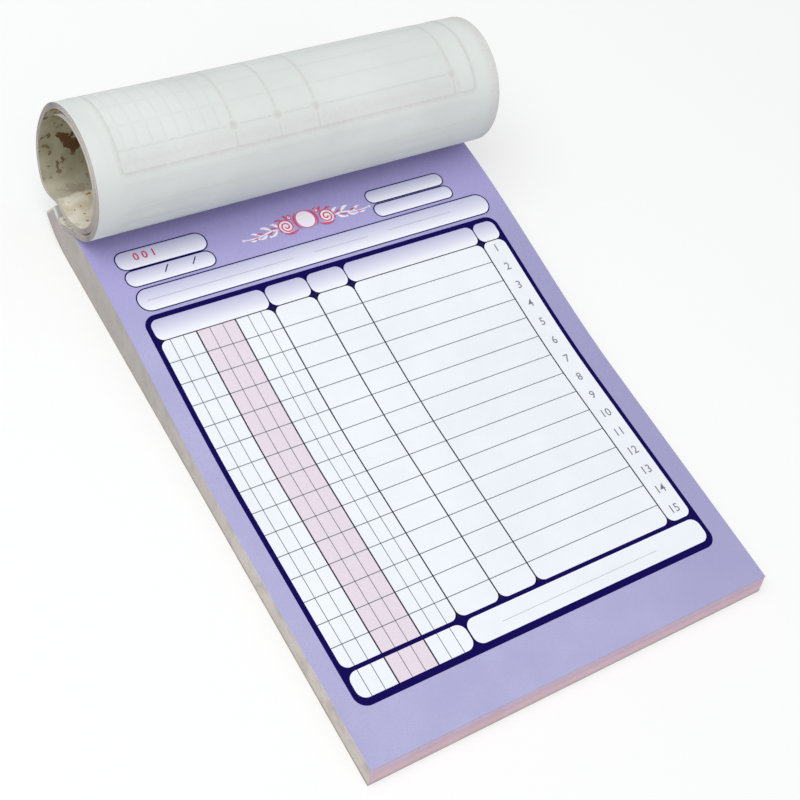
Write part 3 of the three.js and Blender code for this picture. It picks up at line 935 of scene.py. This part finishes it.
def soft_outline(made, x0, x1, s0, s1, corner, width, strength):
    """Adds a rounded outline of show-through, strongest along its middle line."""
    layer = made.verts.layers.float["strength"]
    already, already_faces = set(made.verts), set(made.faces)
    box(made, x0, x1, s0, s1, corner)
    face = next(item for item in made.faces if item not in already_faces)
    outer = set(made.verts) - already
    inset(made, face, width / 2)
    middle = set(made.verts) - already - outer
    inset(made, face, width / 2)
    bmesh.ops.delete(made, geom=[face], context="FACES_ONLY")
    for vertex in set(made.verts) - already:
        vertex[layer] = strength if vertex in middle else 0.0


# Below this place of the form the turned leaf is hidden inside the roll.
THROUGH_FOOT = 62
FAINTEST, FAINT, SOFT, CLEAR, CLEAREST = 0.12, 0.22, 0.45, 0.6, 0.9
through_cuts = [through_end - length for length in outer_kept]
through_columns = [column + PAGE_WIDTH / 2 for column in roll_columns]
OUTER_LEAF = (on_roll, "roll", "leaf_backs", through_cuts, through_columns)


def start_show_through():
    made = bmesh.new()
    made.verts.layers.float.new("strength")
    return made


margins = start_show_through()
soft_bar(margins, FRAME_RIGHT + 2.2, PAGE_WIDTH + 6, THROUGH_FOOT, 176, CLEAR)
soft_bar(margins, FRAME_LEFT + 1, FRAME_RIGHT - 8, STAR_LINE - 1, HEADING_TOP + 1, 0.25)
for vertex in margins.verts:
    vertex.co.x = min(vertex.co.x, PAGE_WIDTH - 0.1)
print_ink("margins_showing_through", margins, 1, show_through, OUTER_LEAF)
fine_lines = start_show_through()
for row in range(10):
    s = STAR_LINE - row * ROW
    soft_bar(fine_lines, CELL_LEFT, GROUP_LINES[-1], s - 0.7, s + 0.7, 0.4 if row == 0 else FAINT)
print_ink("rows_showing_through", fine_lines, 2, show_through, OUTER_LEAF)
columns_through = start_show_through()
for x in NARROW_LINES:
    soft_bar(columns_through, x - 0.6, x + 0.6, THROUGH_FOOT, STAR_LINE, FAINT)
for x in GROUP_LINES:
    soft_bar(columns_through, x - 1.0, x + 1.0, THROUGH_FOOT, HEADING_TOP, SOFT)
print_ink("columns_showing_through", columns_through, 3, show_through, OUTER_LEAF)
outlines_through = start_show_through()
foot, top = THROUGH_FOOT - 2, FRAME_TOP + 1
soft_outline(outlines_through, FRAME_LEFT - 1, FRAME_RIGHT + 1, foot, top, 5.0, 3.8, CLEAR)
for field in FIELDS:
    soft_outline(outlines_through, *field, 1.2, FAINTEST)
print_ink("outlines_showing_through", outlines_through, 4, show_through, OUTER_LEAF)
stars = start_show_through()
star_strength = stars.verts.layers.float["strength"]
for x in GROUP_LINES:
    fan = bmesh.ops.create_circle(stars, cap_ends=True, cap_tris=True, segments=12, radius=2.2)["verts"]
    for vertex in fan:
        vertex[star_strength] = CLEAREST if vertex.co.length < 0.1 else 0.0
    bmesh.ops.translate(stars, vec=(x, STAR_LINE, 0), verts=fan)
print_ink("stars_showing_through", stars, 5, show_through, OUTER_LEAF)

# Cover
# The soft printed cover of the book, the innermost leaf of the roll: its face lines the hollow.
# A mottled pattern of olive, cream and brown, like marbled paper.

# Marbled print: olive-grey with brown marks. Apart from that, the colour is graded paler towards the
# front and turns cream from the bottom of the hollow to its front.
marbled_print, tree, shader, place = new_finish("marbled_cover_print", 0.5, 0.25)
olive = mottle(tree, place, "#b3af96", "#98947a", 120, 0.4, 0.62, 5.0)
veined = mottle(tree, place, olive, "#77694a", 430, 0.6, 0.63, 3.0)
browned = mottle(tree, place, veined, "#6b4c31", 170, 0.575, 0.6, 5.0)
cream = mottle(tree, place, "#efe9da", "#d9d1b8", 260, 0.45, 0.6, 5.0)
flecked = mottle(tree, place, cream, "#a98f55", 560, 0.62, 0.66, 3.0)
depth = add_node(tree, "ShaderNodeSeparateXYZ", {0: place})
wander = add_node(tree, "ShaderNodeTexNoise", {"Vector": place, "Scale": 190.0, "Detail": 4.0})
wavy_depth = {0: wander.outputs[0], 1: 0.009, 2: depth.outputs["Y"]}
level = add_node(tree, "ShaderNodeMath", wavy_depth, operation="MULTIPLY_ADD")
paler_to_front = graded(tree, place, "Y", 0.113, 0.105, browned, colour("#d3cfbe"), 0.55)
creamy = add_node(tree, "ShaderNodeMapRange", {"Value": level.outputs[0], 1: 0.1048, 2: 0.1032})
grounds = {"Factor": creamy.outputs[0], 6: paler_to_front, 7: flecked}
marbled = add_node(tree, "ShaderNodeMix", grounds, data_type="RGBA")
felted(tree, shader, place, marbled.outputs[2], 900, 0.2)
# Bare back of the cover stock.
cover_back = paper("cover_stock", "#e7e3d6", "#dedacb", 0.7)

cover_depth = TURNED_SETS * SET
cover_kept, cover_rows = rolled_rows(cover_depth, TURNED_LENGTH)
cover = bmesh.new()
lay_leaf(cover, roll_columns, cover_kept, 0, WALL - cover_depth, 0, 1, edge_finishes=(2, 2))


def in_cover(x, y, z):
    return in_roll(cover_depth, cover_rows, x, y, z)


cover_sheet = make_piece("cover_sheet", cover, in_cover, [cover_back, marbled_print, shaded_rolled_edges])
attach(cover_sheet, "roll")
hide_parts("cover")

# Binding
# Stubs of the leaves under a folded strip of crepe paper, padding glue behind them and two staples
# through all of it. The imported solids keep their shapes.

# Binding strip: grey-green crepe paper, with fine creases across it.
strip_paper, tree, shader, place = new_finish("crepe_strip_paper", 0.8, 0.2)
shade = mottle(tree, place, "#c3c6bd", "#b4b7ae", 70)
tree.links.new(shade, shader.inputs["Base Color"])
crepe = {"Vector": place, "Scale": 210.0, "Distortion": 5.0, "Detail": 3.0, "Detail Scale": 2.0}
creases = add_node(tree, "ShaderNodeTexWave", crepe, bands_direction="X")
relief = {"Strength": 0.5, "Distance": 0.06 * MM, "Height": creases.outputs["Fac"]}
bump = add_node(tree, "ShaderNodeBump", relief)
tree.links.new(bump.outputs[0], shader.inputs["Normal"])
give_finish("binding_strip", strip_paper)

# Padding glue: dried, milky and slightly glossy.
padding_glue, tree, shader, place = new_finish("padding_glue", 0.35, 0.5)
milk = mottle(tree, place, "#e2dbc6", "#cfc6ac", 300)
felted(tree, shader, place, milk, 500, 0.5, 0.1)
give_finish("spine_glue", padding_glue)

# Staple wire: bright drawn steel, a little uneven.
staple_wire, tree, shader, place = new_finish("staple_wire", 0.32, 0.5)
shader.inputs["Metallic"].default_value = 1.0
shade = mottle(tree, place, "#b9bcc0", "#8f9296", 2500)
tree.links.new(shade, shader.inputs["Base Color"])
for name, finish in (
    ("staple_1", staple_wire),
    ("staple_2", staple_wire),
    ("copy_leaf_stub", pink_paper),
    ("invoice_leaf_stub", lilac_print),
    ("turned_set_stubs", leaf_back),
    ("cover_stub", cover_back),
):
    give_finish(name, finish)

# Floor, light and camera
# A plain white floor, two broad soft lamps, and the camera where the photograph was taken from.

# White card: half of what is seen of it is plain white, so it stays pale and keeps a soft shadow.
white_card, tree, shader, place = new_finish("white_card", 0.95, 0.0)
shader.inputs["Base Color"].default_value = (0.93, 0.93, 0.93, 1)
glow = add_node(tree, "ShaderNodeEmission", {"Color": (1, 1, 1, 1), "Strength": 1.0})
path = add_node(tree, "ShaderNodeLightPath")
seen = path.outputs["Is Camera Ray"]
for ray in ("Is Glossy Ray", "Is Transmission Ray"):
    either = {0: seen, 1: path.outputs[ray]}
    seen = add_node(tree, "ShaderNodeMath", either, operation="MAXIMUM").outputs[0]
half = add_node(tree, "ShaderNodeMath", {0: seen, 1: 0.5}, operation="MULTIPLY")
looks = {0: half.outputs[0], 1: shader.outputs[0], 2: glow.outputs[0]}
mixed = add_node(tree, "ShaderNodeMixShader", looks)
tree.links.new(mixed.outputs[0], tree.nodes["Material Output"].inputs["Surface"])
floor_mesh = bmesh.new()
bmesh.ops.create_grid(floor_mesh, x_segments=1, y_segments=1, size=3.0)


def just_below(x, y, z):
    """A place of the floor, lowered a fiftieth of a millimetre so that the board doesn't lie in it."""
    return Vector((x, y, z - 0.02 * MM))


floor = make_piece("studio_floor", floor_mesh, just_below, [white_card])

world = bpy.data.worlds.new("studio")
world.use_nodes = True
bpy.context.scene.world = world
tree = world.node_tree
ambient = tree.nodes["Background"]
ambient.inputs["Color"].default_value = (0.80, 0.81, 0.83, 1)
ambient.inputs["Strength"].default_value = 0.62
backdrop = add_node(tree, "ShaderNodeBackground", {"Color": (1, 1, 1, 1), "Strength": 1.0})
path = add_node(tree, "ShaderNodeLightPath")
looks = {0: path.outputs["Is Camera Ray"], 1: ambient.outputs[0], 2: backdrop.outputs[0]}
mixed = add_node(tree, "ShaderNodeMixShader", looks)
tree.links.new(mixed.outputs[0], tree.nodes["World Output"].inputs["Surface"])


def add_lamp(name, place, size, power):
    """A square softbox lamp that faces the middle of the book."""
    light = bpy.data.lights.new(name, "AREA")
    light.shape = "SQUARE"
    light.size, light.energy = size, power
    lamp = bpy.data.objects.new(name, light)
    lamp.location = place
    lamp.rotation_euler = (-Vector(place)).to_track_quat("-Z", "Y").to_euler()
    bpy.context.scene.collection.objects.link(lamp)


add_lamp("key_softbox", (-0.45, 0.08, 1.05), size=0.9, power=7.6)
add_lamp("fill_softbox", (0.2, -1.0, 0.9), size=1.2, power=3.0)

camera_data = bpy.data.cameras.new("camera")
camera_data.sensor_width, camera_data.lens = 36, 69.161
camera_data.clip_start, camera_data.clip_end = 0.01, 20
camera = bpy.data.objects.new("camera", camera_data)
# The camera's axes, fitted to the photograph with its place and its lens.
right = Vector((0.823507, -0.504075, 0.260278))
down = Vector((-0.293711, -0.771354, -0.564577))
ahead = Vector((0.485356, 0.388486, -0.783267))
turned = Matrix((right, -down, -ahead)).transposed().to_4x4()
camera.matrix_world = Matrix.Translation((-0.236949, -0.189914, 0.384813)) @ turned
bpy.context.scene.collection.objects.link(camera)
bpy.context.scene.camera = camera
bpy.context.scene.view_settings.view_transform = "Standard"
